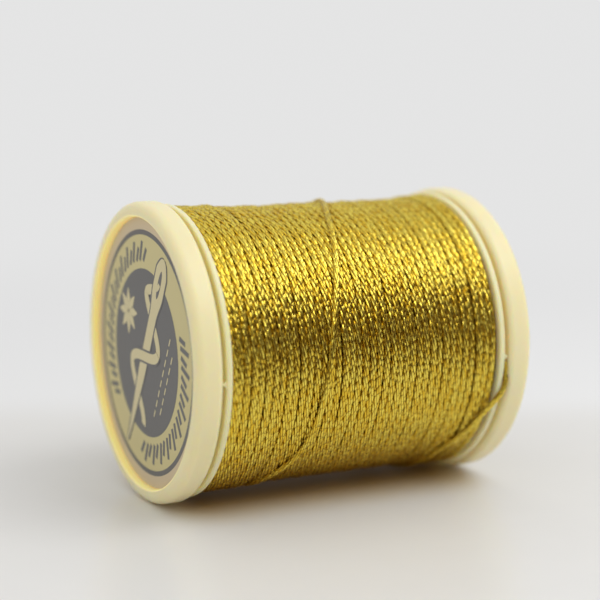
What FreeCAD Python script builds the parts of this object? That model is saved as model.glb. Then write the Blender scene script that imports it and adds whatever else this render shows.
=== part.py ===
import FreeCAD, Part

import math
import os

from FreeCAD import Vector

# A spool of metallic thread lying on its side, in millimetres. The winding axis is X, Z is up, and
# the origin is the middle of the spool. The front cap, with the printed label, faces -X. The rear
# cap, whose groove holds the thread's tail, faces +X. Angles are degrees round the winding axis:
# 0 is the -Y side, 90 the top and 180 the +Y side.

# Overall size
RIM_RADIUS = 15.0
HALF_LENGTH = 18.3

# Spool core: a barrel with a thin flange at each end
BARREL_RADIUS = 6.2
FLANGE_RADIUS = 14.65
FLANGE_THICKNESS = 0.60
FLANGE_INNER_X = 14.65
FLANGE_EDGE_ROUND = 0.20
FLANGE_OUTER_X = FLANGE_INNER_X + FLANGE_THICKNESS

# Snap cap: a thick rimmed disc with a hub that plugs into the barrel
CATCH_GROOVE_WIDTH = 0.45
LAND_RADIUS = 13.5
LAND_GAP = 0.03
RIM_OUTER_ROUND = 0.90
RIM_INNER_ROUND = 0.55
RECESS_RADIUS = 13.55
RECESS_DEPTH = 0.87
RECESS_MOUTH_ROUND = 0.15
PIN_BORE_RADIUS = 3.30
PIN_BORE_CHAMFER = 0.30
HUB_RADIUS = 4.64
HUB_END_X = 7.0
CAP_INNER_X = FLANGE_OUTER_X + CATCH_GROOVE_WIDTH
RECESS_FLOOR_X = HALF_LENGTH - RECESS_DEPTH

# Snap joint between hub and barrel
SNAP_TRAVEL = 1.20
HUB_CLEARANCE = 0.06
BARB_HEIGHT = 0.32
BARB_LENGTH = 1.0
SNAP_FINGER_LENGTH = 5.0
SNAP_SLIT_WIDTH = 0.7
SNAP_SLIT_ANGLES = (45, 135)
KEY_WIDTH = 1.2
KEY_RADIUS = 5.2
KEY_START_X = 12.9
KEY_CLEARANCE = 0.08
KEY_ANGLES = (0, 180)
END_GAP = 0.05

# Catch tooth that pins the thread's tail in the groove
TOOTH_ANGLE = -3.0
TOOTH_WIDTH = 0.8
TOOTH_HEIGHT = 0.40
TOOTH_DEPTH = 0.88

# Labels
LABEL_RADIUS = 13.45
LABEL_THICKNESS = 0.10
LABEL_GAP = 0.02
REAR_LABEL_HOLE_RADIUS = 3.90

# Thread
WINDING_GAP = 0.04
WINDING_RADIUS_MIDDLE = 14.05
WINDING_RADIUS_ENDS = 14.28
WINDING_EDGE_DROP = 0.35
STRAND_RADIUS = 0.25
STRAND_GAP = 0.05
TAIL_HALF_WIDTH = 0.19
TAIL_HALF_HEIGHT = 0.32
# The last wrap, as (angle, x): it climbs out of the winding and runs once round towards the rear.
LAST_WRAP_PATH = (
    (-75, -9.25), (-45, -6.5), (-10, -4.7), (30, -2.75), (60, -0.6), (95, 2.45),
    (150, 4.9), (225, 7.9), (290, 10.2), (312, 11.45), (326, 12.9),
)
# Its end, as (angle, x, radius): it climbs from the winding onto the rear flange's rim.
LAST_WRAP_CLIMB = ((332, 13.55, 14.78), (337.5, 14.25, 14.96))
# The tail, as (angle, x, radius): over the rear flange's rim, then down into the catch groove.
TAIL_X = FLANGE_OUTER_X + CATCH_GROOVE_WIDTH / 2
TAIL_OVER_RIM = FLANGE_RADIUS + TAIL_HALF_HEIGHT + STRAND_GAP
TAIL_PATH = (
    (339, 14.42, TAIL_OVER_RIM), (341.2, 14.76, TAIL_OVER_RIM), (343.6, 15.15, TAIL_OVER_RIM),
    (345.4, 15.40, TAIL_OVER_RIM), (346.9, TAIL_X, TAIL_OVER_RIM - 0.12),
    (350, TAIL_X, 14.48), (354.2, TAIL_X, 14.16),
)

AXIS = Vector(1, 0, 0)
ORIGIN = Vector(0, 0, 0)


def at(angle, x, radius):
    """The point at an angle round the winding axis, a place along it and a radius from it."""
    turn = math.radians(angle)
    return Vector(x, -radius * math.cos(turn), radius * math.sin(turn))


def outward(angle):
    """The unit vector that points away from the winding axis at an angle."""
    return at(angle, 0, 1)


def turned(profile):
    """The solid that an outline of (x, radius) corners makes when it turns round the axis."""
    corners = [at(90, x, radius) for x, radius in profile]
    outline = Part.makePolygon(corners + corners[:1])
    return Part.Face(outline).revolve(ORIGIN, AXIS, 360)


def tube(start_x, end_x, inner_radius, outer_radius):
    return turned([
        (start_x, inner_radius), (start_x, outer_radius),
        (end_x, outer_radius), (end_x, inner_radius),
    ])


def ring_edges(shape, x, radius):
    """The circular edges of a shape that lie at a place along the axis with a given radius."""
    found = []
    for edge in shape.Edges:
        if isinstance(edge.Curve, Part.Circle):
            near_x = abs(edge.Curve.Center.x - x) < 0.001
            near_radius = abs(edge.Curve.Radius - radius) < 0.001
            if near_x and near_radius:
                found.append(edge)
    return found


def block(angle, start_x, end_x, inner_radius, outer_radius, width):
    """A box that stands radially at an angle, between two places along the axis."""
    size = (end_x - start_x, outer_radius - inner_radius, width)
    box = Part.makeBox(*size, Vector(start_x, inner_radius, -width / 2))
    box.rotate(ORIGIN, AXIS, 180 - angle)
    return box


def catch_tooth():
    """A ridge on the rear flange's outer face, triangular when seen from outside."""
    half_width = TOOTH_WIDTH / 2
    top_radius = FLANGE_RADIUS - FLANGE_EDGE_ROUND
    corners = [
        Vector(FLANGE_OUTER_X - 0.1, top_radius, -half_width),
        Vector(FLANGE_OUTER_X + TOOTH_HEIGHT, top_radius, 0),
        Vector(FLANGE_OUTER_X - 0.1, top_radius, half_width),
    ]
    triangle = Part.Face(Part.makePolygon(corners + corners[:1]))
    tooth = triangle.extrude(Vector(0, -TOOTH_DEPTH, 0))
    tooth.rotate(ORIGIN, AXIS, 180 - TOOTH_ANGLE)
    return tooth


def both_ends(shape):
    """A rear-end shape and its mirror image at the front end."""
    return [shape, shape.mirror(ORIGIN, AXIS)]


def make_spool_core():
    bore = HUB_RADIUS + HUB_CLEARANCE
    core = turned([
        (-FLANGE_OUTER_X, bore), (-FLANGE_OUTER_X, FLANGE_RADIUS),
        (-FLANGE_INNER_X, FLANGE_RADIUS), (-FLANGE_INNER_X, BARREL_RADIUS),
        (FLANGE_INNER_X, BARREL_RADIUS), (FLANGE_INNER_X, FLANGE_RADIUS),
        (FLANGE_OUTER_X, FLANGE_RADIUS), (FLANGE_OUTER_X, bore),
    ])
    rims = []
    for x in (-FLANGE_OUTER_X, -FLANGE_INNER_X, FLANGE_INNER_X, FLANGE_OUTER_X):
        rims += ring_edges(core, x, FLANGE_RADIUS)
    core = core.makeFillet(FLANGE_EDGE_ROUND, rims)

    barb_room = tube(
        HUB_END_X - END_GAP, HUB_END_X + BARB_LENGTH + SNAP_TRAVEL + END_GAP,
        bore - 0.5, bore + BARB_HEIGHT,
    )
    keyways = [
        block(
            angle, KEY_START_X - END_GAP, FLANGE_OUTER_X + 1, bore - 0.5,
            KEY_RADIUS + KEY_CLEARANCE, KEY_WIDTH + 2 * KEY_CLEARANCE,
        )
        for angle in KEY_ANGLES
    ]
    for cutter in [barb_room] + keyways:
        for side in both_ends(cutter):
            core = core.cut(side)
    for tooth in both_ends(catch_tooth()):
        core = core.fuse(tooth)
    return core


def make_rear_cap():
    barb_radius = HUB_RADIUS + BARB_HEIGHT
    land_x = FLANGE_OUTER_X + LAND_GAP
    cap = turned([
        (HUB_END_X, PIN_BORE_RADIUS), (HUB_END_X, HUB_RADIUS - 0.2),
        (HUB_END_X + 0.5, barb_radius), (HUB_END_X + BARB_LENGTH, barb_radius),
        (HUB_END_X + BARB_LENGTH, HUB_RADIUS), (land_x, HUB_RADIUS),
        (land_x, LAND_RADIUS), (CAP_INNER_X, LAND_RADIUS),
        (CAP_INNER_X, RIM_RADIUS), (HALF_LENGTH, RIM_RADIUS),
        (HALF_LENGTH, RECESS_RADIUS), (RECESS_FLOOR_X, RECESS_RADIUS),
        (RECESS_FLOOR_X, PIN_BORE_RADIUS + PIN_BORE_CHAMFER),
        (RECESS_FLOOR_X - PIN_BORE_CHAMFER, PIN_BORE_RADIUS),
    ])
    cap = cap.makeFillet(RIM_OUTER_ROUND, ring_edges(cap, HALF_LENGTH, RIM_RADIUS))
    cap = cap.makeFillet(RIM_INNER_ROUND, ring_edges(cap, CAP_INNER_X, RIM_RADIUS))
    cap = cap.makeFillet(RECESS_MOUTH_ROUND, ring_edges(cap, HALF_LENGTH, RECESS_RADIUS))
    for angle in KEY_ANGLES:
        key = block(angle, KEY_START_X, land_x + 0.5, HUB_RADIUS - 0.5, KEY_RADIUS, KEY_WIDTH)
        cap = cap.fuse(key)
    for angle in SNAP_SLIT_ANGLES:
        slit = block(
            angle, HUB_END_X - 1, HUB_END_X + SNAP_FINGER_LENGTH,
            -barb_radius - 1, barb_radius + 1, SNAP_SLIT_WIDTH,
        )
        cap = cap.cut(slit)
    return cap


def make_rear_label():
    start_x = RECESS_FLOOR_X + LABEL_GAP
    return tube(start_x, start_x + LABEL_THICKNESS, REAR_LABEL_HOLE_RADIUS, LABEL_RADIUS)


def make_front_label():
    """A plain disc that also covers the mouth of the pin bore."""
    end_x = -RECESS_FLOOR_X - LABEL_GAP
    return Part.makeCylinder(LABEL_RADIUS, LABEL_THICKNESS, Vector(end_x, 0, 0), -AXIS)


def winding_radius(x):
    """Outer radius of the wound thread: level in the middle, with a low hump at each flange."""
    middle_width = 0.64 * FLANGE_INNER_X
    hump = min(1.0, max(0.0, (abs(x) - middle_width) / 2.4))
    rise = hump * hump * (3 - 2 * hump)
    return WINDING_RADIUS_MIDDLE + rise * (WINDING_RADIUS_ENDS - WINDING_RADIUS_MIDDLE)


def make_thread_winding():
    end_x = FLANGE_INNER_X - WINDING_GAP
    shoulder_x = end_x - 0.9
    inner_radius = BARREL_RADIUS + WINDING_GAP
    steps = 24
    places = [shoulder_x * (2 * i / steps - 1) for i in range(steps + 1)]
    top = Part.BSplineCurve()
    top.interpolate([at(90, x, winding_radius(x)) for x in places])
    edge_radius = winding_radius(end_x) - WINDING_EDGE_DROP
    ends = [
        top.StartPoint, at(90, -end_x, edge_radius), at(90, -end_x, inner_radius),
        at(90, end_x, inner_radius), at(90, end_x, edge_radius), top.EndPoint,
    ]
    outline = Part.Wire([top.toShape()] + Part.makePolygon(ends).Edges)
    return Part.Face(outline).revolve(ORIGIN, AXIS, 360)


def swept(points, section):
    """A closed section carried along a smooth curve through the points."""
    curve = Part.BSplineCurve()
    curve.interpolate(points)
    sweep = Part.BRepOffsetAPI.MakePipeShell(Part.Wire(curve.toShape()))
    sweep.setFrenetMode(False)
    sweep.add(section(curve))
    sweep.build()
    sweep.makeSolid()
    return sweep.shape()


def round_section(curve):
    start = curve.FirstParameter
    circle = Part.Circle(curve.value(start), curve.tangent(start)[0], STRAND_RADIUS)
    return Part.Wire(circle.toShape())


def flat_section(curve):
    """An ellipse that stands taller along the radius than it is wide along the axis."""
    start = curve.FirstParameter
    centre = curve.value(start)
    tall = outward(TAIL_PATH[0][0])
    top = centre + tall * TAIL_HALF_HEIGHT
    side = centre + curve.tangent(start)[0].cross(tall).normalize() * TAIL_HALF_WIDTH
    return Part.Wire(Part.Ellipse(top, side, centre).toShape())


def smooth_path(path):
    """Points every few degrees on a curve through (angle, x) pairs, resting on the winding."""
    guide = Part.BSplineCurve()
    guide.interpolate([Vector(angle, x, 0) for angle, x in path])
    steps = 44
    first, last = guide.FirstParameter, guide.LastParameter
    points = []
    for i in range(steps + 1):
        spot = guide.value(first + (last - first) * i / steps)
        radius = winding_radius(spot.y) + STRAND_RADIUS + STRAND_GAP
        points.append(at(spot.x, spot.y, radius))
    return points


def make_thread_last_wrap():
    climb = [at(*place) for place in LAST_WRAP_CLIMB]
    return swept(smooth_path(LAST_WRAP_PATH) + climb, round_section)


def make_thread_tail():
    return swept([at(*place) for place in TAIL_PATH], flat_section)


def main():
    rear_cap = make_rear_cap()
    nodes = {
        "spool_core": make_spool_core(),
        "front_cap": rear_cap.mirror(ORIGIN, AXIS),
        "rear_cap": rear_cap,
        "front_label": make_front_label(),
        "rear_label": make_rear_label(),
        "thread_winding": make_thread_winding(),
        "thread_last_wrap": make_thread_last_wrap(),
        "thread_tail": make_thread_tail(),
    }
    os.makedirs("parts", exist_ok=True)
    for name, shape in nodes.items():
        shape.exportStep(f"parts/{name}.step")
        print(name, shape.ShapeType, len(shape.Solids), shape.isValid(), round(shape.Volume, 2))


main()
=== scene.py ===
import math

import bpy
import numpy as np
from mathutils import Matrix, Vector


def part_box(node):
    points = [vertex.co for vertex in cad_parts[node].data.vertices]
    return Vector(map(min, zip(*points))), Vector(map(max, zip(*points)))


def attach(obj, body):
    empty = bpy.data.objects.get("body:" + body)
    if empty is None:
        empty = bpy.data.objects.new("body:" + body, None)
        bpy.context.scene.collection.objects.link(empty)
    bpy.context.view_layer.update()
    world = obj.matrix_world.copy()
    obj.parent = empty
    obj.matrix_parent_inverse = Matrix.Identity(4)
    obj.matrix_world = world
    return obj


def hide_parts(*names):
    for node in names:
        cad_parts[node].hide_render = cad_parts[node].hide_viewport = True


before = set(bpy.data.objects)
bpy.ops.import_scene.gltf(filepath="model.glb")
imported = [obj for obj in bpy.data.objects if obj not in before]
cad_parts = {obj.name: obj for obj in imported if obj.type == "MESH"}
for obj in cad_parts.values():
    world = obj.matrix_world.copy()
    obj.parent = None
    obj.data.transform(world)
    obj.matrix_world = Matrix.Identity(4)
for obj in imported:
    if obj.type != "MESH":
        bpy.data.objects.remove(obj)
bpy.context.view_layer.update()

# The spool lies along X, with its labelled end at -X. Lengths in this script are millimetres until
# a mesh is made. Angles round the spool are degrees: 0 is the -Y side, 90 the top, 180 the +Y side.
MM = 0.001
SEED = 11


def node_box(name):
    """The lowest and highest corner of a CAD node, in millimetres."""
    low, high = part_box(name)
    return low / MM, high / MM


CORE_HIGH = node_box("spool_core")[1]
WINDING_HIGH = node_box("thread_winding")[1]
FRONT_LABEL_LOW, FRONT_LABEL_HIGH = node_box("front_label")
RIM_RADIUS = node_box("front_cap")[1].z
FLANGE_RADIUS = CORE_HIGH.z
WINDING_HALF = WINDING_HIGH.x
LABEL_RADIUS = FRONT_LABEL_HIGH.z
LABEL_FACE = -FRONT_LABEL_LOW.x

# The catch groove, from the inner flange's outer face to the cap
FLANGE_FACE = 1.0167 * RIM_RADIUS
GROOVE_WIDTH = 0.03 * RIM_RADIUS

# Printed labels
PRINT_RING_RADIUS = 0.817 * RIM_RADIUS
PRINT_DISC_RADIUS = 0.56 * RIM_RADIUS
BORDER_WIDTH = 0.50
PIN_HOLE_RADIUS = 0.26 * RIM_RADIUS
INK_LAYER = 0.008

# Thread sizes
TURNS = 39
PITCH = 2 * WINDING_HALF / TURNS
PLIES = 6
PLY_TWIST_LENGTH = 10.2 * PITCH
GRAIN_LENGTH = 1.05 * PITCH
LEAN_ALONG = 0.077
LEAN_ACROSS = 0.136
GRAIN_RELIEF = 0.026
STRAND_HALF_WIDTH = 0.535 * PITCH
STRAND_HALF_HEIGHT = 0.365
STRAND_SINK = 0.33
WINDING_OUTER_MIDDLE = 0.939 * RIM_RADIUS
WINDING_OUTER_ENDS = 0.957 * RIM_RADIUS
LAST_WRAP_HALF_SIZE = (0.33, 0.28)
TAIL_HALF_SIZE = (0.205, 0.34)
LAST_WRAP_ROWS = 1250
UNDERLAYER_INNER = 0.42 * RIM_RADIUS
UNDERLAYER_SINK = 0.58
UNDERLAYER_RIDGE = 0.10

# Colours, as linear red, green, blue and alpha. A pair is the two ends of a mottle.
CREAM = ((0.765, 0.70, 0.425, 1), (0.80, 0.735, 0.465, 1))
# Painted light: a tint and a glow for the plastic, standing in for light passed through it and light
# off the thread.
AMBER_PAINTED_LIGHT = (0.97, 0.80, 0.33, 1)
AMBER_PAINTED_GLOW = (0.93, 0.75, 0.31, 1)
PAPER_MIDDLE = ((0.60, 0.525, 0.26, 1), (0.65, 0.565, 0.285, 1))
PAPER_MARGIN = ((0.61, 0.50, 0.335, 1), (0.66, 0.54, 0.365, 1))
SLATE_INK = ((0.112, 0.107, 0.103, 1), (0.138, 0.132, 0.125, 1))
SILVER_INK = ((0.62, 0.54, 0.30, 1), (0.68, 0.59, 0.335, 1))
GOLD_BRIGHT = (0.97, 0.785, 0.12, 1)
GOLD_DEEP = (0.87, 0.60, 0.05, 1)
# Painted shade for the clefts between grains and for the strand's sides.
GOLD_CLEFT_PAINTED_SHADE = (0.26, 0.12, 0.010, 1)
# Painted shade: the lower layer's foil, as dark as in shadow.
GOLD_BELOW_PAINTED_SHADE = ((0.20, 0.12, 0.02, 1), (0.34, 0.22, 0.03, 1))
FLOOR_WHITE = ((0.755, 0.745, 0.725, 1), (0.775, 0.765, 0.745, 1))
# Painted light on the floor: a warm reflection of light off the thread, and a dark brown contact
# shadow warmed by it.
FLOOR_PAINTED_BOUNCE = (0.75, 0.55, 0.27, 1)
FLOOR_PAINTED_CONTACT_SHADOW = (0.37, 0.215, 0.055, 1)

rng = np.random.default_rng(SEED)


# ---------------------------------------------------------------- meshes


def add_mesh(name, points, faces, material, body, uvs=None, smooth=True):
    """A mesh piece from millimetre points and same-sized faces, riding on a CAD body."""
    points = np.asarray(points, np.float32) * MM
    faces = np.asarray(faces, np.int32)
    mesh = bpy.data.meshes.new(name)
    mesh.vertices.add(len(points))
    mesh.vertices.foreach_set("co", points.ravel())
    sides = faces.shape[1]
    mesh.loops.add(faces.size)
    mesh.loops.foreach_set("vertex_index", faces.ravel())
    mesh.polygons.add(len(faces))
    mesh.polygons.foreach_set("loop_start", np.arange(len(faces), dtype=np.int32) * sides)
    mesh.polygons.foreach_set("loop_total", np.full(len(faces), sides, np.int32))
    mesh.polygons.foreach_set("use_smooth", np.full(len(faces), smooth))
    if uvs is not None:
        layer = mesh.uv_layers.new(name="Grains")
        layer.data.foreach_set("uv", np.asarray(uvs, np.float32).ravel())
    mesh.update()
    mesh.validate()
    mesh.materials.append(material)
    piece = bpy.data.objects.new(name, mesh)
    bpy.context.scene.collection.objects.link(piece)
    if body is not None:
        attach(piece, body)
    return piece


def around(angles, x, radius):
    """Points at angles (radians) round the winding axis."""
    angles, x, radius = np.broadcast_arrays(angles, x, radius)
    return np.stack([x, -radius * np.cos(angles), radius * np.sin(angles)], -1)


def unit(vectors):
    """The same directions, one long."""
    return vectors / np.linalg.norm(vectors, axis=-1, keepdims=True)


def smoothstep(low, high, value):
    """Goes smoothly from 0 at low to 1 at high."""
    t = np.clip((value - low) / (high - low), 0, 1)
    return t * t * (3 - 2 * t)


def wander(count, step, reach, size):
    """A smooth random curve: knots every step samples, with a spread of size."""
    knots = rng.normal(0, size, int(count / step) + 4)
    places = np.arange(count) / step
    first = places.astype(int)
    blend = places - first
    blend = blend * blend * (3 - 2 * blend)
    return np.clip(knots[first] * (1 - blend) + knots[first + 1] * blend, -reach, reach)


# ---------------------------------------------------------------- materials


class Nodes:
    """A short way to build one material's node tree."""

    def __init__(self, name):
        self.material = bpy.data.materials.new(name)
        self.material.use_nodes = True
        self.tree = self.material.node_tree
        self.shader = self.tree.nodes["Principled BSDF"]
        self.output = self.tree.nodes["Material Output"]

    def add(self, kind, **inputs):
        node = self.tree.nodes.new("ShaderNode" + kind)
        for key, value in inputs.items():
            self.put(node.inputs[key.replace("_", " ")], value)
        return node

    def put(self, socket, value):
        """Links a socket to another node's output, or gives it a fixed value."""
        if isinstance(value, bpy.types.NodeSocket):
            self.tree.links.new(value, socket)
        else:
            socket.default_value = value

    def set(self, **inputs):
        """Sets inputs of the main shader. An underscore in a name stands for a space."""
        for key, value in inputs.items():
            self.put(self.shader.inputs[key.replace("_", " ")], value)

    def math(self, operation, first, second=0.0, third=0.0):
        node = self.tree.nodes.new("ShaderNodeMath")
        node.operation = operation
        for socket, value in zip(node.inputs, (first, second, third)):
            self.put(socket, value)
        return node.outputs[0]

    def object_point(self):
        return self.add("TexCoord").outputs["Object"]

    def split(self, vector, axis):
        return self.add("SeparateXYZ", Vector=vector).outputs[axis]

    def noise(self, vector, scale, detail=2.0, roughness=0.5):
        node = self.add("TexNoise", Vector=vector, Scale=scale, Detail=detail)
        node.inputs["Roughness"].default_value = roughness
        return node.outputs["Fac"]

    def blend(self, share, first, second):
        """A colour that goes from first to second as share goes from 0 to 1."""
        node = self.tree.nodes.new("ShaderNodeMix")
        node.data_type = "RGBA"
        for socket, value in zip((node.inputs[0], node.inputs[6], node.inputs[7]),
                                 (share, first, second)):
            self.put(socket, value)
        return node.outputs[2]

    def ranged(self, value, low, high):
        """A smooth step: 0 at low and 1 at high."""
        node = self.add("MapRange", Value=value)
        node.inputs["From Min"].default_value = low
        node.inputs["From Max"].default_value = high
        node.interpolation_type = "SMOOTHSTEP"
        return node.outputs[0]

    def dot(self, vector, direction):
        node = self.tree.nodes.new("ShaderNodeVectorMath")
        node.operation = "DOT_PRODUCT"
        self.put(node.inputs[0], vector)
        node.inputs[1].default_value = direction
        return node.outputs["Value"]

    def vector_math(self, operation, vector):
        node = self.tree.nodes.new("ShaderNodeVectorMath")
        node.operation = operation
        self.put(node.inputs[0], vector)
        return node

    def ramp(self, value, *stops):
        """A value or colour ramp through (place, colour) stops."""
        node = self.add("ValToRGB", Fac=value)
        marks = node.color_ramp.elements
        while len(marks) < len(stops):
            marks.new(0.5)
        for mark, (place, colour) in zip(marks, stops):
            mark.position = place
            mark.color = colour
        return node.outputs["Color"]

    def bump(self, height, strength, distance, normal=None):
        node = self.add("Bump", Height=height, Strength=strength, Distance=distance)
        if normal is not None:
            self.put(node.inputs["Normal"], normal)
        return node.outputs["Normal"]


def grey(value):
    return (value, value, value, 1)


def plastic_material():
    """Cream, slightly translucent moulded plastic. Amber tint and glow are painted on the wall round
    each label, for light passed through it, and faintly deep in the catch grooves, for that light and
    light off the thread. All of it has a faint painted glow too."""
    m = Nodes("cream_plastic")
    place = m.object_point()
    cloud = m.noise(place, 90, 3)
    grain = m.noise(place, 2600, 3)
    cream = m.blend(cloud, *CREAM)
    split = m.add("SeparateXYZ", Vector=place)
    along = m.math("ABSOLUTE", split.outputs["X"])
    radius = m.math("SQRT", m.math("ADD", m.math("POWER", split.outputs["Y"], 2.0),
                                   m.math("POWER", split.outputs["Z"], 2.0)))
    low, high = FLANGE_FACE, FLANGE_FACE + GROOVE_WIDTH
    in_groove = m.math("MULTIPLY", m.ranged(along, (low - 0.10) * MM, (low + 0.02) * MM),
                       m.ranged(along, (high + 0.10) * MM, (high - 0.02) * MM))
    deep = m.ranged(radius, (FLANGE_RADIUS + 0.25) * MM, (FLANGE_RADIUS - 0.7) * MM)
    in_recess = m.math("MULTIPLY", m.ranged(along, (LABEL_FACE - 0.25) * MM, LABEL_FACE * MM),
                       m.ranged(radius, (LABEL_RADIUS + 0.35) * MM, (LABEL_RADIUS + 0.1) * MM))
    # Painted light: a tint on the recess wall for light through the plastic, and deep in the catch
    # grooves for that light and light off the thread.
    faint = m.math("MULTIPLY", m.math("MULTIPLY", in_groove, deep), 0.42)
    painted_glow_share = m.math("MAXIMUM", faint, in_recess)
    m.set(
        Base_Color=m.blend(painted_glow_share, cream, AMBER_PAINTED_LIGHT),
        Emission_Color=AMBER_PAINTED_GLOW,
        # Painted glow: emission on the recess wall, and a faint one over all of the plastic.
        Emission_Strength=m.math("MULTIPLY_ADD", in_recess, 0.18, 0.03),
        Subsurface_Weight=0.8,
        Subsurface_Radius=(1.0, 0.66, 0.24),
        Subsurface_Scale=0.0018,
        Roughness=m.math("MULTIPLY_ADD", grain, 0.14, 0.34),
        Specular_IOR_Level=0.40,
        Normal=m.bump(grain, 0.10, 0.00004),
    )
    return m.material


def paper_material():
    """Silver-taupe paper with fine fibres: a rosy margin round a slightly olive middle."""
    m = Nodes("label_paper")
    place = m.object_point()
    cloud = m.noise(place, 160, 4)
    fibre = m.noise(place, 3800, 4, 0.7)
    flat = m.add("CombineXYZ", X=m.split(place, "Y"), Y=m.split(place, "Z"))
    radius = m.vector_math("LENGTH", flat.outputs[0]).outputs["Value"]
    margin = m.ranged(radius, (PRINT_RING_RADIUS - BORDER_WIDTH) * MM, PRINT_RING_RADIUS * MM)
    middle = m.blend(cloud, *PAPER_MIDDLE)
    rosy = m.blend(cloud, *PAPER_MARGIN)
    m.set(
        Base_Color=m.blend(margin, middle, rosy),
        Metallic=0.15,
        Roughness=m.math("MULTIPLY_ADD", fibre, 0.25, 0.42),
        Normal=m.bump(fibre, 0.15, 0.00003),
    )
    return m.material


def ink_material(name, dark, light):
    """Printing ink with a faint mottle."""
    m = Nodes(name)
    place = m.object_point()
    mottle = m.noise(place, 2100, 3, 0.6)
    m.set(
        Base_Color=m.blend(mottle, dark, light),
        Roughness=m.math("MULTIPLY_ADD", mottle, 0.18, 0.36),
        Normal=m.bump(mottle, 0.12, 0.00003),
    )
    return m.material


def gold_material():
    """Metallised foil wrapped round each ply, in short grains that catch the light one by one.
    The strand meshes carry a map of their grains: U counts grains and V counts plies. Their Lift
    is 1 on a strand's crest and 0 at its sides, where it lies in the shade of its neighbours."""
    m = Nodes("gold_thread")
    node = m.add("UVMap")
    node.uv_map = "Grains"
    split = m.add("SeparateXYZ", Vector=node.outputs["UV"])
    along, across = split.outputs["X"], split.outputs["Y"]
    place = m.object_point()
    grain = m.add("CombineXYZ", X=m.math("FLOOR", along), Y=m.math("FLOOR", across)).outputs[0]
    pick = m.add("SeparateXYZ", Vector=m.add("TexWhiteNoise", Vector=grain).outputs["Color"])
    off_along = m.math("SUBTRACT", m.math("FRACT", along), 0.5)
    off_across = m.math("SUBTRACT", m.math("FRACT", across), 0.5)

    # Each grain is a flat-topped bead that leans a random way. The cleft round it is darkened with
    # painted shade.
    ends = m.math("POWER", m.math("ABSOLUTE", m.math("MULTIPLY", off_along, 2.0)), 3.0)
    lean_along = m.math("MULTIPLY", off_along, m.math("SUBTRACT", pick.outputs["X"], 0.5))
    lean_across = m.math("MULTIPLY", off_across, m.math("SUBTRACT", pick.outputs["Y"], 0.5))
    lean = m.math("MULTIPLY_ADD", lean_along, LEAN_ALONG, m.math("MULTIPLY", lean_across, LEAN_ACROSS))
    height = m.math("MULTIPLY_ADD", ends, -GRAIN_RELIEF, lean)
    cleft = m.math("MAXIMUM", m.ranged(m.math("ABSOLUTE", off_along), 0.41, 0.50),
                   m.ranged(m.math("ABSOLUTE", off_across), 0.35, 0.50))
    lift = m.add("Attribute")
    lift.attribute_name = "Lift"
    # Painted shade: the strand's sides, low in Lift, where its neighbours shade it, are darkened like
    # the clefts.
    side = m.ranged(lift.outputs["Fac"], 0.56, 0.08)
    cleft = m.math("MAXIMUM", cleft, m.math("MULTIPLY", side, 0.5))

    strips = m.add("CombineXYZ", X=m.math("MULTIPLY", along, 0.9), Y=m.math("MULTIPLY", across, 7.0))
    filament = m.noise(strips.outputs[0], 1.0, 2)
    patch = m.noise(place, 620, 3, 0.6)
    shade = m.math("MULTIPLY_ADD", pick.outputs["Z"], 0.5, m.math("MULTIPLY", patch, 0.5))
    foil = m.blend(m.ramp(shade, (0.25, grey(0)), (0.62, grey(1))), GOLD_DEEP, GOLD_BRIGHT)
    relief = m.bump(height, 1.0, MM)
    m.set(
        # Painted shade: the cleft colour over the clefts and the strand's sides.
        Base_Color=m.blend(cleft, foil, GOLD_CLEFT_PAINTED_SHADE),
        Metallic=1.0,
        Roughness=m.math("MULTIPLY_ADD", filament, 0.16, 0.20),
        Normal=m.bump(filament, 0.40, 0.00004, relief),
    )
    return m.material


def lower_thread_painted_shade_material():
    """The thread below the outer layer, seen only in the gaps: the same foil, darkened with painted
    shade.
    """
    m = Nodes("gold_thread_below_painted_shade")
    patch = m.noise(m.object_point(), 2400, 3, 0.6)
    m.set(
        Base_Color=m.blend(patch, *GOLD_BELOW_PAINTED_SHADE),
        Metallic=1.0,
        Roughness=m.math("MULTIPLY_ADD", patch, 0.2, 0.3),
        Normal=m.bump(patch, 0.5, 0.00006),
    )
    return m.material


# ---------------------------------------------------------------- thread


def winding_outer(x):
    """Outer radius of the wound thread: level in the middle, higher beside each flange."""
    front = smoothstep(0.62, 0.70, -x / RIM_RADIUS)
    rear = smoothstep(0.76, 0.86, x / RIM_RADIUS)
    return WINDING_OUTER_MIDDLE + (front + rear) * (WINDING_OUTER_ENDS - WINDING_OUTER_MIDDLE)


LOBE_SAMPLES = 4
VALLEY_FACTOR = 0.58
NOTCH_DEPTH = 0.07


def ply_profile():
    """Radius factors round the section: a valley, a flank, a crest and a flank for each ply."""
    half_step = math.pi / PLIES
    centre = 1 / (1 + math.sin(half_step))
    ply = 1 - centre
    factors = []
    for sample in range(LOBE_SAMPLES):
        lean = half_step * (2 * sample / LOBE_SAMPLES - 1)
        inside = max(0.0, ply ** 2 - (centre * math.sin(lean)) ** 2)
        factors.append(centre * math.cos(lean) + math.sqrt(inside))
    factors[0] = VALLEY_FACTOR
    return np.tile(factors, PLIES)


def grain_phase(length):
    """How many grains lie before each place, for each ply: neighbours are half a grain apart."""
    plies = np.arange(PLIES)[None, :]
    uneven = np.stack([wander(len(length), 9, 0.6, 0.25) for _ in range(PLIES)], 1)
    return length[:, None] / GRAIN_LENGTH + 0.47 * plies + uneven


GRAIN_SLANT = 0.5


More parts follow.
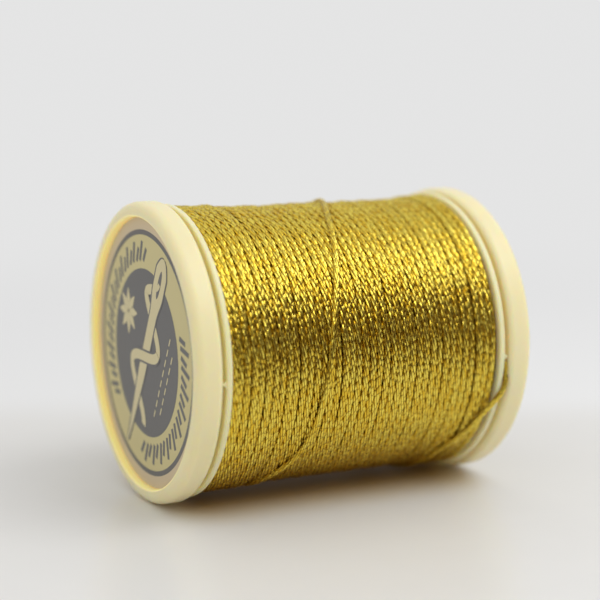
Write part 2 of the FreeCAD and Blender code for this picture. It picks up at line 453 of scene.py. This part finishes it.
def strand_rings(centres, outward, half_width, half_height, length, grains, twist=PLY_TWIST_LENGTH):
    """Section rings of a twisted strand along its centre line, and the lift of their points."""
    tangent = unit(np.gradient(centres, axis=0))
    outward = unit(outward - tangent * np.sum(outward * tangent, -1, keepdims=True))
    across = np.cross(tangent, outward)
    samples = PLIES * LOBE_SAMPLES
    loose = wander(len(length), 40, 0.8, 0.28)
    phase = np.arange(samples) * 2 * math.pi / samples
    angle = phase[None, :] + (2 * math.pi * length / twist + loose)[:, None]

    ply = np.arange(samples) // LOBE_SAMPLES
    lag = GRAIN_SLANT * (np.arange(samples) % LOBE_SAMPLES / LOBE_SAMPLES - 0.5)
    notch = (0.5 + 0.5 * np.cos(2 * math.pi * (grains[:, ply] + lag[None, :]))) ** 2
    proud = np.stack([wander(len(length), 11, 0.08, 0.03) for _ in range(PLIES)], 1)[:, ply]
    factor = ply_profile()[None, :] * (1 - NOTCH_DEPTH * notch + proud)
    wide = (half_width * factor * np.cos(angle))[..., None] * across[:, None, :]
    tall = (half_height * factor * np.sin(angle))[..., None] * outward[:, None, :]
    return centres[:, None, :] + wide + tall, factor * np.sin(angle)


def tube_faces(rings, samples):
    """Quads between neighbouring rings of a tube."""
    i = np.arange(rings - 1)[:, None] * samples
    j = np.arange(samples)[None, :]
    k = (j + 1) % samples
    return np.stack([i + j, i + samples + j, i + samples + k, i + k], -1).reshape(-1, 4)


def tube_uvs(grains):
    """The number of the grain and of the ply, for each face corner of a strand."""
    side = np.arange(PLIES * LOBE_SAMPLES)
    ply = side // LOBE_SAMPLES
    v0, v1 = side / LOBE_SAMPLES, (side + 1) / LOBE_SAMPLES
    lag0 = GRAIN_SLANT * (v0 - ply - 0.5)
    lag1 = GRAIN_SLANT * (v1 - ply - 0.5)
    here, ahead = grains[:-1][:, ply], grains[1:][:, ply]
    v0, v1 = np.broadcast_to(v0, here.shape), np.broadcast_to(v1, here.shape)
    corners = [
        np.stack([here + lag0, v0], -1), np.stack([ahead + lag0, v0], -1),
        np.stack([ahead + lag1, v1], -1), np.stack([here + lag1, v1], -1),
    ]
    return np.stack(corners, 2).reshape(-1, 2)


def add_strand(name, rings, lift, grains, material, body):
    """A strand's mesh. A small ring at each end shuts its section."""
    tips = [ring.mean(0) + (ring - ring.mean(0)) * 0.02 for ring in (rings[0], rings[-1])]
    rings = np.concatenate([tips[0][None], rings, tips[1][None]])
    lift = np.concatenate([lift[:1], lift, lift[-1:]])
    grains = np.concatenate([grains[:1], grains, grains[-1:]])
    count, samples = rings.shape[:2]
    piece = add_mesh(
        name, rings.reshape(-1, 3), tube_faces(count, samples), material, body, tube_uvs(grains),
    )
    level = piece.data.attributes.new("Lift", "FLOAT", "POINT")
    level.data.foreach_set("value", lift.astype(np.float32).ravel())
    return piece


def length_along(centres):
    """The strand's length up to each point of its centre line."""
    return np.concatenate([[0], np.cumsum(np.linalg.norm(np.diff(centres, axis=0), axis=1))])


WINDING_STEP = 0.13
BANDS = 7


def winding_path():
    """Angle, place along the axis and centre radius of the wound thread, turn after turn."""
    per_turn = int(2 * math.pi * WINDING_OUTER_MIDDLE / WINDING_STEP)
    count = per_turn * TURNS
    turn = np.arange(count + 1) / per_turn
    angle = 2 * math.pi * turn - math.radians(60)
    x = np.clip(turn * PITCH, 0.53 * PITCH, (TURNS - 0.53) * PITCH) - WINDING_HALF
    tucked = 0.12 * smoothstep(0.5, 0.0, turn) + 0.12 * smoothstep(TURNS - 0.5, TURNS, turn)
    slow_sway = wander(count + 1, per_turn / 5, 0.07, 0.032)
    quick_sway = wander(count + 1, per_turn / 17, 0.04, 0.014)
    rise = wander(count + 1, per_turn / 4, 0.12, 0.045)
    radius = winding_outer(x) - STRAND_SINK + rise - tucked
    return angle, x + (slow_sway + quick_sway), radius


def add_winding(material):
    """The wound thread: one strand, turn beside turn, cut into bands of equal length."""
    angle, x, radius = winding_path()
    centres = around(angle, x, radius)
    length = length_along(centres)
    grains = grain_phase(length)
    outward = around(angle, 0 * x, 1)
    rings, lift = strand_rings(
        centres, outward, STRAND_HALF_WIDTH, STRAND_HALF_HEIGHT, length, grains,
    )
    edges = np.linspace(0, len(length) - 1, BANDS + 1).astype(int)
    for band in range(BANDS):
        part = slice(edges[band], edges[band + 1] + 1)
        add_strand(
            f"thread_winding_{band + 1}", rings[part], lift[part], grains[part], material,
            "spool_core",
        )
    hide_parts("thread_winding")


def add_underlayer(material):
    """The layer of thread below the outer one, as corrugated turns that close the gaps."""
    steps, rows = 240, TURNS * 4 + 1
    x = np.linspace(-WINDING_HALF, WINDING_HALF, rows)
    ridge = UNDERLAYER_RIDGE * np.cos(2 * math.pi * (x + WINDING_HALF) / PITCH)
    radius = winding_outer(x) - UNDERLAYER_SINK + ridge
    x = np.concatenate([[x[0]], x, [x[-1]]])
    radius = np.concatenate([[UNDERLAYER_INNER], radius, [UNDERLAYER_INNER]])
    angles = np.arange(steps) * 2 * math.pi / steps
    rings = around(angles[None, :], x[:, None], radius[:, None])
    # Rows go along X, so the tube's sides turn outwards when the angle runs backwards.
    rings = rings[:, ::-1]
    faces = tube_faces(len(x), steps)
    i = np.arange(steps)
    last = (len(x) - 1) * steps
    closing = np.stack([last + i, i, (i + 1) % steps, last + (i + 1) % steps], -1)
    piece = add_mesh("thread_underlayer", rings.reshape(-1, 3), np.concatenate([faces, closing]),
                     material, "spool_core")


# The last wrap's middle line, as (angle in degrees, place along X, height over the winding), and
# the tail that follows it over the rear flange, as (angle, place along X, radius).
LAST_WRAP = (
    (-95, -10.4, -0.60), (-80, -9.6, -0.30), (-68, -8.7, 0.02), (-56, -7.7, 0.10), (-41, -6.15, 0.11),
    (-24, -5.2, 0.11), (-9, -4.65, 0.11), (13, -3.75, 0.11), (43, -1.8, 0.11), (70, 0.15, 0.11),
    (94, 2.4, 0.11), (122, 3.8, 0.11), (150, 4.9, 0.11), (188, 6.5, 0.11), (225, 7.9, 0.11),
    (260, 9.1, 0.11), (290, 10.2, 0.11), (305, 11.0, 0.11), (312, 11.5, 0.12), (319, 12.15, 0.16),
    (326, 12.9, 0.25),
)
TAIL = (
    (331, 13.4, 14.66), (336, 13.95, 14.84), (340.5, 14.65, 14.95), (343.4, 15.12, 14.94),
    (345.8, 15.40, 14.83), (348, 15.475, 14.64), (351, 15.475, 14.38), (354.6, 15.475, 14.15),
)


def curve_through(knots, count):
    """Evenly spaced rows on a smooth curve through (angle, x, radius) knots."""
    knots = np.asarray(knots, float)
    places = around(np.radians(knots[:, 0]), knots[:, 1], knots[:, 2])
    at = np.concatenate([[0], np.cumsum(np.linalg.norm(np.diff(places, axis=0), axis=1))])
    slopes = np.gradient(knots, at, axis=0)
    t = np.linspace(0, at[-1], count)
    k = np.clip(np.searchsorted(at, t, side="right") - 1, 0, len(at) - 2)
    h = (at[k + 1] - at[k])[:, None]
    u = (t - at[k])[:, None] / h
    return (
        knots[k] * (2 * u ** 3 - 3 * u ** 2 + 1) + slopes[k] * h * (u ** 3 - 2 * u ** 2 + u)
        + knots[k + 1] * (3 * u ** 2 - 2 * u ** 3) + slopes[k + 1] * h * (u ** 3 - u ** 2)
    )


def add_last_wrap(material):
    """The last wrap, over the winding and the rear flange's rim, then down to the catch tooth."""
    on_winding = [(angle, x, float(winding_outer(x)) + height) for angle, x, height in LAST_WRAP]
    line = curve_through(on_winding + list(TAIL), LAST_WRAP_ROWS)
    angle = np.radians(line[:, 0])
    centres = around(angle, line[:, 1], line[:, 2])
    length = length_along(centres)
    grains = grain_phase(length)
    outward = around(angle, 0 * angle, 1)
    squeeze = smoothstep(FLANGE_FACE - 0.45, FLANGE_FACE + 0.15, line[:, 1])[:, None]
    half_width = LAST_WRAP_HALF_SIZE[0] * (1 - squeeze) + TAIL_HALF_SIZE[0] * squeeze
    half_height = LAST_WRAP_HALF_SIZE[1] * (1 - squeeze) + TAIL_HALF_SIZE[1] * squeeze
    rings, lift = strand_rings(
        centres, outward, half_width, half_height, length, grains, PLY_TWIST_LENGTH * 0.8,
    )
    piece = add_strand("thread_last_wrap_strand", rings, lift, grains, material, "spool_core")
    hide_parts("thread_last_wrap", "thread_tail")


# ---------------------------------------------------------------- printed labels

# A print is a list of strokes. Each has a middle line of (right, up) points on the label, a half
# width, and the number of ink layers that it stands on.


def arc(radius, start=0.0, end=360.0, steps=120):
    """Label points on an arc, between two angles in degrees."""
    angles = np.radians(np.linspace(start, end, steps + 1))
    return np.stack([np.cos(angles), np.sin(angles)], -1) * radius


def ring(inner, outer, layer=1):
    """The stroke of a full ring between two radii."""
    return arc((inner + outer) / 2), (outer - inner) / 2, layer


def stitch_bars(start, end, count):
    """Slanted stitches, long and short by turns, along an arc of the label's outer band."""
    inner = 0.748 * PRINT_RING_RADIUS
    strokes = []
    for i, angle in enumerate(np.linspace(start, end, count)):
        outer = inner + (1.95 if i % 2 else 1.30)
        ends = [arc(inner, angle, angle, 1)[0], arc(outer, angle - 4.5, angle - 4.5, 1)[0]]
        strokes.append((np.array(ends), 0.25, 1))
    return strokes


def quilt_star(centre, reach):
    """An eight-pointed star of diamonds, as pieced in patchwork."""
    width = np.array([0.04, 0.20, 0.04]) * reach
    spokes = [arc(reach, angle, angle, 1)[0] for angle in range(0, 360, 45)]
    share = np.array([0.06, 0.55, 1.0])[:, None]
    return [(np.asarray(centre) + share * spoke, width, 3) for spoke in spokes]


NEEDLE_LEAN = 62.0
NEEDLE_REACH = 11.2


def along_needle(along, aside):
    """Label points from places along the needle (point first) and to its left."""
    lean = math.radians(NEEDLE_LEAN)
    along, aside = np.broadcast_arrays(along, aside)
    right = along * math.cos(lean) - aside * math.sin(lean)
    up = along * math.sin(lean) + aside * math.cos(lean)
    return np.stack([right, up], -1)


def needle_and_thread():
    """Strokes of a sewing needle with thread winding round it: dark outlines, light fill."""
    along = np.linspace(-NEEDLE_REACH, NEEDLE_REACH, 90)
    point = np.clip((along + NEEDLE_REACH) / 9, 0, 1) ** 0.75
    end = np.sqrt(np.clip((NEEDLE_REACH - along) / 1.6, 0, 1))
    body = (0.78 + 0.50 * smoothstep(4.5, 7.5, along)) * point * end + 0.03
    needle = along_needle(along, 0)
    eye = along_needle(np.linspace(6.6, 9.8, 24), 0)
    eye_width = 0.36 * np.sqrt(np.clip(1 - np.linspace(-1, 1, 24) ** 2, 0.01, 1))

    share = np.linspace(0, 1, 160)
    sway = 2.7 * smoothstep(-0.02, 0.2, share) * np.sin(3.5 * math.pi * share)
    thread = along_needle(8.3 - 15.3 * share, sway)
    over = thread[68:116]
    dark = [
        (thread, 0.72, 2), (needle, body + 0.24, 4), (eye, eye_width, 6), (over, 0.72, 6),
    ]
    light = [(thread, 0.50, 3), (needle, body, 5), (over, 0.50, 7), (thread[:14], 0.26, 7)]
    return dark, light


def running_stitches(aside, start, end):
    """A fine dashed line beside the needle."""
    return [
        (along_needle(np.array([place, place + 0.8]), aside), 0.09, 3)
        for place in np.arange(start, end, 1.25)
    ]


def headings(line):
    """The direction of a stroke at each of its points. A closed stroke has no kink at its seam."""
    heading = np.gradient(line, axis=0)
    if np.allclose(line[0], line[-1]):
        heading[0] = heading[-1] = line[1] - line[-2]
    return unit(heading)


def add_print(name, strokes, material, end, body):
    """Ink on the label at one end of the spool (-1 front, 1 rear), as one thin solid piece."""
    points, faces = [], []
    start = 0
    for line, half_width, layer in strokes:
        heading = headings(line)
        left = np.stack([-heading[:, 1], heading[:, 0]], -1)
        left = left * np.broadcast_to(half_width, len(line))[:, None]
        low, high = np.full(len(line), -0.3 * INK_LAYER), np.full(len(line), layer * INK_LAYER)
        corners = [(line - left, low), (line - left, high), (line + left, high), (line + left, low)]
        rows = np.stack([
            np.stack([end * (LABEL_FACE + height), end * at[:, 0], at[:, 1]], -1)
            for at, height in corners
        ], 1)
        caps = np.array([[0, 1, 2, 3], [3, 2, 1, 0]]) + np.array([[0], [4 * len(line) - 4]])
        points.append(rows.reshape(-1, 3))
        faces.append(np.concatenate([tube_faces(len(line), 4), caps]) + start)
        start += 4 * len(line)
    piece = add_mesh(name, np.concatenate(points), np.concatenate(faces), material, body, smooth=False)


def add_label_prints():
    """The print on both labels: stitches round a needle at the front, and round stars behind."""
    slate = ink_material("slate_ink", *SLATE_INK)
    silver = ink_material("silver_ink", *SILVER_INK)
    border = ring(PRINT_RING_RADIUS - BORDER_WIDTH, PRINT_RING_RADIUS)
    dark, light = needle_and_thread()
    front_dark = [border, ring(0.01, PRINT_DISC_RADIUS)]
    front_dark += stitch_bars(216, 92, 23) + stitch_bars(378, 266, 21) + dark
    front_light = light + quilt_star((-4.6, 3.6), 2.3)
    front_light += running_stitches(-4.6, -4.4, 5.4) + running_stitches(-5.8, -3.2, 4.2)
    add_print("front_label_slate_print", front_dark, slate, -1, "front_cap")
    add_print("front_label_silver_print", front_light, silver, -1, "front_cap")

    rear_dark = [border, ring(PIN_HOLE_RADIUS + 0.5, PRINT_DISC_RADIUS)] + stitch_bars(360, 5, 72)
    rear_light = []
    for angle in range(0, 360, 45):
        rear_light += quilt_star(arc(6.4, angle, angle, 1)[0], 1.4)
    add_print("rear_label_slate_print", rear_dark, slate, 1, "rear_cap")
    add_print("rear_label_silver_print", rear_light, silver, 1, "rear_cap")


# ---------------------------------------------------------------- stage, light and camera

CAMERA_AZIMUTH = -26.82
CAMERA_ELEVATION = 10.19
CAMERA_DISTANCE = 11.214 * RIM_RADIUS
CAMERA_LENS = 97.1
AIM_UP = 0.2686 * RIM_RADIUS
AIM_RIGHT = -0.0272 * RIM_RADIUS
FOCUS_NEARER = 0.848 * RIM_RADIUS


def camera_axes():
    """The camera's right, up and backward directions."""
    turn, rise = math.radians(CAMERA_AZIMUTH), math.radians(CAMERA_ELEVATION)
    back = Vector((
        math.sin(turn) * math.cos(rise), -math.cos(turn) * math.cos(rise), math.sin(rise),
    ))
    right = Vector((0, 0, 1)).cross(back).normalized()
    return right, back.cross(right), back


def add_camera():
    """A long lens close to the spool, focused on the near part of the winding."""
    right, up, back = camera_axes()
    place = back * CAMERA_DISTANCE
    aim = up * AIM_UP + right * AIM_RIGHT
    data = bpy.data.cameras.new("camera")
    data.lens = CAMERA_LENS
    data.sensor_width = 36
    camera = bpy.data.objects.new("camera", data)
    camera.location = place * MM
    camera.rotation_mode = "QUATERNION"
    camera.rotation_quaternion = (aim - place).to_track_quat("-Z", "Y")
    bpy.context.scene.collection.objects.link(camera)
    data.dof.use_dof = True
    data.dof.focus_distance = (CAMERA_DISTANCE - FOCUS_NEARER) * MM
    data.dof.aperture_fstop = 19
    bpy.context.scene.camera = camera


FLOOR_REACH = 2400
FAR_GREY = 0.78
TOP_LIGHT = grey(0.77)
SIDE_LIGHT = grey(0.62)
FILL_LIGHT = grey(0.80)
FRONT_SHADE = (0.038, 0.006, 0.002, 1)


def room_light(m, direction):
    """The studio round the spool. Matt surfaces get even light from every side. What shines shows
    a bright ceiling, paler walls and the dark side where the camera stands."""
    front = m.ranged(m.dot(direction, (0.20, -0.98, 0)), 0.02, 0.50)
    above = m.ranged(m.dot(direction, (0, 0, 1)), 0.38, 0.63)
    shaded = m.math("MULTIPLY", front, m.math("SUBTRACT", 1.0, above))
    mirrored = m.blend(shaded, m.blend(above, SIDE_LIGHT, TOP_LIGHT), FRONT_SHADE)
    return m.blend(m.add("LightPath").outputs["Is Glossy Ray"], FILL_LIGHT, mirrored)


def floor_material():
    """Satin white table. Under the spool it is matt, with a painted warm reflection of light off the
    thread and a painted dark brown contact shadow. Far off it takes the even tone of the room, so no
    edge of it shows."""
    m = Nodes("pale_floor")
    geometry = m.add("NewGeometry")
    place = geometry.outputs["Position"]
    back = camera_axes()[2]
    away = Vector((-back.x, -back.y, 0)).normalized()
    behind = m.ranged(m.dot(place, away), 1.6 * RIM_RADIUS * MM, 2.8 * RIM_RADIUS * MM)
    paper = m.noise(place, 240, 3)
    near = m.blend(paper, *FLOOR_WHITE)
    across = m.math("ABSOLUTE", m.split(place, "Y"))
    between = m.ranged(m.math("ABSOLUTE", m.split(place, "X")), 19 * MM, 13 * MM)
    beside = m.ranged(across, 13.5 * MM, 1.5 * MM)
    # Painted reflection: warm light off the thread on the floor under the spool.
    near = m.blend(m.math("MULTIPLY", beside, between), near, FLOOR_PAINTED_BOUNCE)
    # Painted shadow: dark brown where the spool meets the floor.
    contact_shadow_share = m.ranged(across, 8.5 * MM, 1.0 * MM)
    near = m.blend(m.math("MULTIPLY", contact_shadow_share, between), near, FLOOR_PAINTED_CONTACT_SHADOW)
    hidden = m.math("MULTIPLY", m.ranged(across, 8.5 * MM, 5.0 * MM), between)
    m.set(
        Base_Color=m.blend(behind, near, grey(0.83)),
        Roughness=0.30,
        Specular_IOR_Level=m.math("MULTIPLY_ADD", hidden, -0.44, 0.45),
    )
    distance = m.vector_math("LENGTH", place)
    outward = m.vector_math("NORMALIZE", place)
    seen = m.add("LightPath").outputs["Is Camera Ray"]
    tone = m.blend(seen, room_light(m, outward.outputs["Vector"]), grey(FAR_GREY))
    glow = m.add("Emission", Color=tone, Strength=1.0)
    far = m.ranged(distance.outputs["Value"], 0.055, 0.22)
    mix = m.add("MixShader", Fac=far)
    m.tree.links.new(m.shader.outputs[0], mix.inputs[1])
    m.tree.links.new(glow.outputs[0], mix.inputs[2])
    m.tree.links.new(mix.outputs[0], m.output.inputs["Surface"])
    m.material.cycles.emission_sampling = "NONE"
    return m.material


def add_floor():
    """The table, level with the bottom of the rims."""
    reach = FLOOR_REACH
    low = -RIM_RADIUS
    corners = [(-reach, -reach, low), (reach, -reach, low), (reach, reach, low), (-reach, reach, low)]
    floor = add_mesh("floor", corners, [(0, 1, 2, 3)], floor_material(), None, smooth=False)


class WorldNodes(Nodes):
    """The same short way of building nodes, for the world."""

    def __init__(self, world):
        world.use_nodes = True
        self.tree = world.node_tree
        self.shader = self.tree.nodes["Background"]
        self.output = self.tree.nodes["World Output"]


def add_world():
    """The room round the table. The camera sees an even pale grey."""
    world = bpy.data.worlds.new("studio")
    bpy.context.scene.world = world
    m = WorldNodes(world)
    direction = m.add("TexCoord").outputs["Generated"]
    seen = m.add("LightPath").outputs["Is Camera Ray"]
    m.put(m.shader.inputs["Color"], m.blend(seen, room_light(m, direction), grey(FAR_GREY)))
    world.cycles.sampling_method = "NONE"


KEY_PLACE = (105, -146, 262)
KEY_WIDTH = 245
KEY_DEPTH = 190
KEY_GLOW = 2.7


def add_softbox(name, place, target, width, depth, glow):
    """A soft area light; glow is its brightness, with 1 as bright as a white page in full light."""
    data = bpy.data.lights.new(name, "AREA")
    data.shape = "RECTANGLE"
    data.size = width * MM
    data.size_y = depth * MM
    data.energy = glow * math.pi * width * depth * MM * MM
    light = bpy.data.objects.new(name, data)
    light.location = Vector(place) * MM
    light.rotation_mode = "QUATERNION"
    light.rotation_quaternion = (Vector(target) - Vector(place)).to_track_quat("-Z", "Y")
    bpy.context.scene.collection.objects.link(light)
    return light


def add_lights():
    """One large soft light, above and to the right of the camera."""
    add_softbox("key_softbox", KEY_PLACE, (0, 0, 0), KEY_WIDTH, KEY_DEPTH, KEY_GLOW)


# ---------------------------------------------------------------- the spool


def paint(node, material):
    """Gives a CAD node one material."""
    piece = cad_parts[node]
    piece.data.materials.clear()
    piece.data.materials.append(material)


def build():
    """Materials on the CAD pieces, the thread, the prints and the studio."""
    plastic = plastic_material()
    for node in ("spool_core", "front_cap", "rear_cap"):
        paint(node, plastic)
    paper = paper_material()
    for node in ("front_label", "rear_label"):
        paint(node, paper)
    gold = gold_material()
    add_winding(gold)
    add_underlayer(lower_thread_painted_shade_material())
    add_last_wrap(gold)
    add_label_prints()
    add_floor()
    add_world()
    add_lights()
    add_camera()
    bpy.context.scene.view_settings.view_transform = "Standard"


build()
